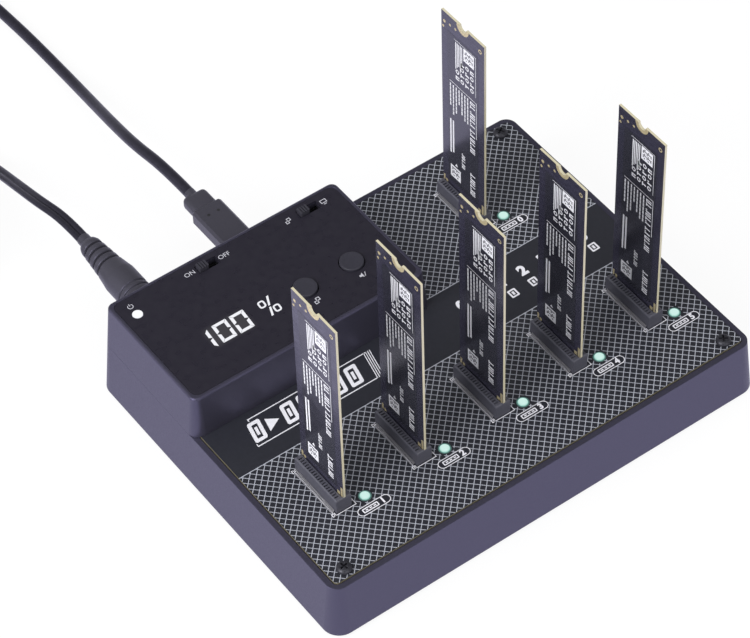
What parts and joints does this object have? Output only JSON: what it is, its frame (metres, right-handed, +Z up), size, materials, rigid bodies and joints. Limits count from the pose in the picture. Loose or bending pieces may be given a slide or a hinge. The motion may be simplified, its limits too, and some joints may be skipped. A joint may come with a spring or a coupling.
{
  "type": "drive duplicator",
  "caption": "Low desktop dock with a circuit-board deck, card-edge sockets holding upright drive cards, and a raised control head with a display, switches and buttons.",
  "frame": {"origin": "middle of the base's footprint, at the underside of the rubber feet", "axes": "+X along the long side with the row of target sockets, +Y to the back wall with the ports, +Z up"},
  "size_m": [0.2373, 0.3672, 0.104],
  "materials": {
    "moulded_abs": "fine moulded grain, near black",
    "rubber_foot": "dull black rubber",
    "circuit_board": "black solder mask over glass laminate",
    "plated_screw": "nickel plated steel",
    "tinned_contact": "tinned contact metal",
    "light_lens": "clear diffusing lens",
    "overlay_film": "smooth dark overlay film",
    "display_resin": "dark display resin",
    "knob_plastic": "black moulded nylon",
    "button_plastic": "grey moulded cap",
    "socket_plastic": "black glass filled nylon",
    "steel_shell": "nickel plated steel shell",
    "chip_resin": "matt epoxy resin",
    "plug_moulding": "soft moulded vinyl",
    "lead_jacket": "smooth vinyl jacket",
    "card_laminate": "dark solder mask on laminate"
  },
  "bodies": {
    "housing": {"base_tray": "moulded_abs", "rubber_feet": "rubber_foot", "main_board": "circuit_board", "board_screws": "plated_screw", "case_screws": "plated_screw", "source_socket": "socket_plastic", "target_1_socket": "socket_plastic", "target_2_socket": "socket_plastic", "target_3_socket": "socket_plastic", "target_4_socket": "socket_plastic", "target_5_socket": "socket_plastic", "socket_contacts": "tinned_contact", "status_lights": "light_lens", "head_shell": "moulded_abs", "top_overlay": "overlay_film", "control_board": "circuit_board", "control_board_screws": "plated_screw", "display_module": "display_resin", "power_light": "light_lens", "power_switch_case": "plated_screw", "mode_switch_case": "plated_screw", "push_switches": "knob_plastic", "power_jack": "socket_plastic", "power_jack_pin": "tinned_contact", "data_port": "steel_shell", "board_header": "socket_plastic", "controller_chips": "chip_resin", "power_inductors": "chip_resin", "filter_capacitors": "steel_shell", "buzzer": "socket_plastic"},
    "source_drive": {"source_drive_card": "card_laminate", "source_drive_chips": "chip_resin"},
    "target_1_drive": {"target_1_drive_card": "card_laminate", "target_1_drive_chips": "chip_resin"},
    "target_2_drive": {"target_2_drive_card": "card_laminate", "target_2_drive_chips": "chip_resin"},
    "target_3_drive": {"target_3_drive_card": "card_laminate", "target_3_drive_chips": "chip_resin"},
    "target_4_drive": {"target_4_drive_card": "card_laminate", "target_4_drive_chips": "chip_resin"},
    "target_5_drive": {"target_5_drive_card": "card_laminate", "target_5_drive_chips": "chip_resin"},
    "power_switch": {"power_switch_knob": "knob_plastic"},
    "mode_switch": {"mode_switch_knob": "knob_plastic"},
    "clone_key": {"clone_button": "button_plastic", "clone_plunger": "knob_plastic"},
    "mute_key": {"mute_button": "button_plastic", "mute_plunger": "knob_plastic"},
    "power_cord": {"power_plug_body": "plug_moulding", "power_plug_barrel": "steel_shell", "power_lead": "lead_jacket", "power_lead_coil": "lead_jacket", "power_adapter": "plug_moulding", "adapter_blades": "steel_shell"},
    "data_cord": {"data_plug_body": "plug_moulding", "data_plug_shell": "steel_shell", "data_cable": "lead_jacket", "data_cable_coil": "lead_jacket", "host_plug": "plug_moulding"}
  },
  "joints": [
    {"name": "source_drive_pull", "type": "slide", "parent": "housing", "child": "source_drive", "axis": [0, 0, 1], "range_m": [0, 0.03]},
    {"name": "target_1_drive_pull", "type": "slide", "parent": "housing", "child": "target_1_drive", "axis": [0, 0, 1], "range_m": [0, 0.03]},
    {"name": "target_2_drive_pull", "type": "slide", "parent": "housing", "child": "target_2_drive", "axis": [0, 0, 1], "range_m": [0, 0.03]},
    {"name": "target_3_drive_pull", "type": "slide", "parent": "housing", "child": "target_3_drive", "axis": [0, 0, 1], "range_m": [0, 0.03]},
    {"name": "target_4_drive_pull", "type": "slide", "parent": "housing", "child": "target_4_drive", "axis": [0, 0, 1], "range_m": [0, 0.03]},
    {"name": "target_5_drive_pull", "type": "slide", "parent": "housing", "child": "target_5_drive", "axis": [0, 0, 1], "range_m": [0, 0.03]},
    {"name": "power_switch_slide", "type": "slide", "parent": "housing", "child": "power_switch", "axis": [1, 0, 0], "range_m": [0, 0.004]},
    {"name": "mode_switch_slide", "type": "slide", "parent": "housing", "child": "mode_switch", "axis": [1, 0, 0], "range_m": [0, 0.004]},
    {"name": "clone_press", "type": "slide", "parent": "housing", "child": "clone_key", "axis": [0, 0, -1], "range_m": [0, 0.0006], "stiffness_N_per_m": 800, "springref_m": -0.0004},
    {"name": "mute_press", "type": "slide", "parent": "housing", "child": "mute_key", "axis": [0, 0, -1], "range_m": [0, 0.0006], "stiffness_N_per_m": 800, "springref_m": -0.0004},
    {"name": "power_plug_pull", "type": "slide", "parent": "housing", "child": "power_cord", "axis": [0, 1, 0], "range_m": [0, 0.012]},
    {"name": "data_plug_pull", "type": "slide", "parent": "housing", "child": "data_cord", "axis": [0, 1, 0], "range_m": [0, 0.01]}
  ]
}
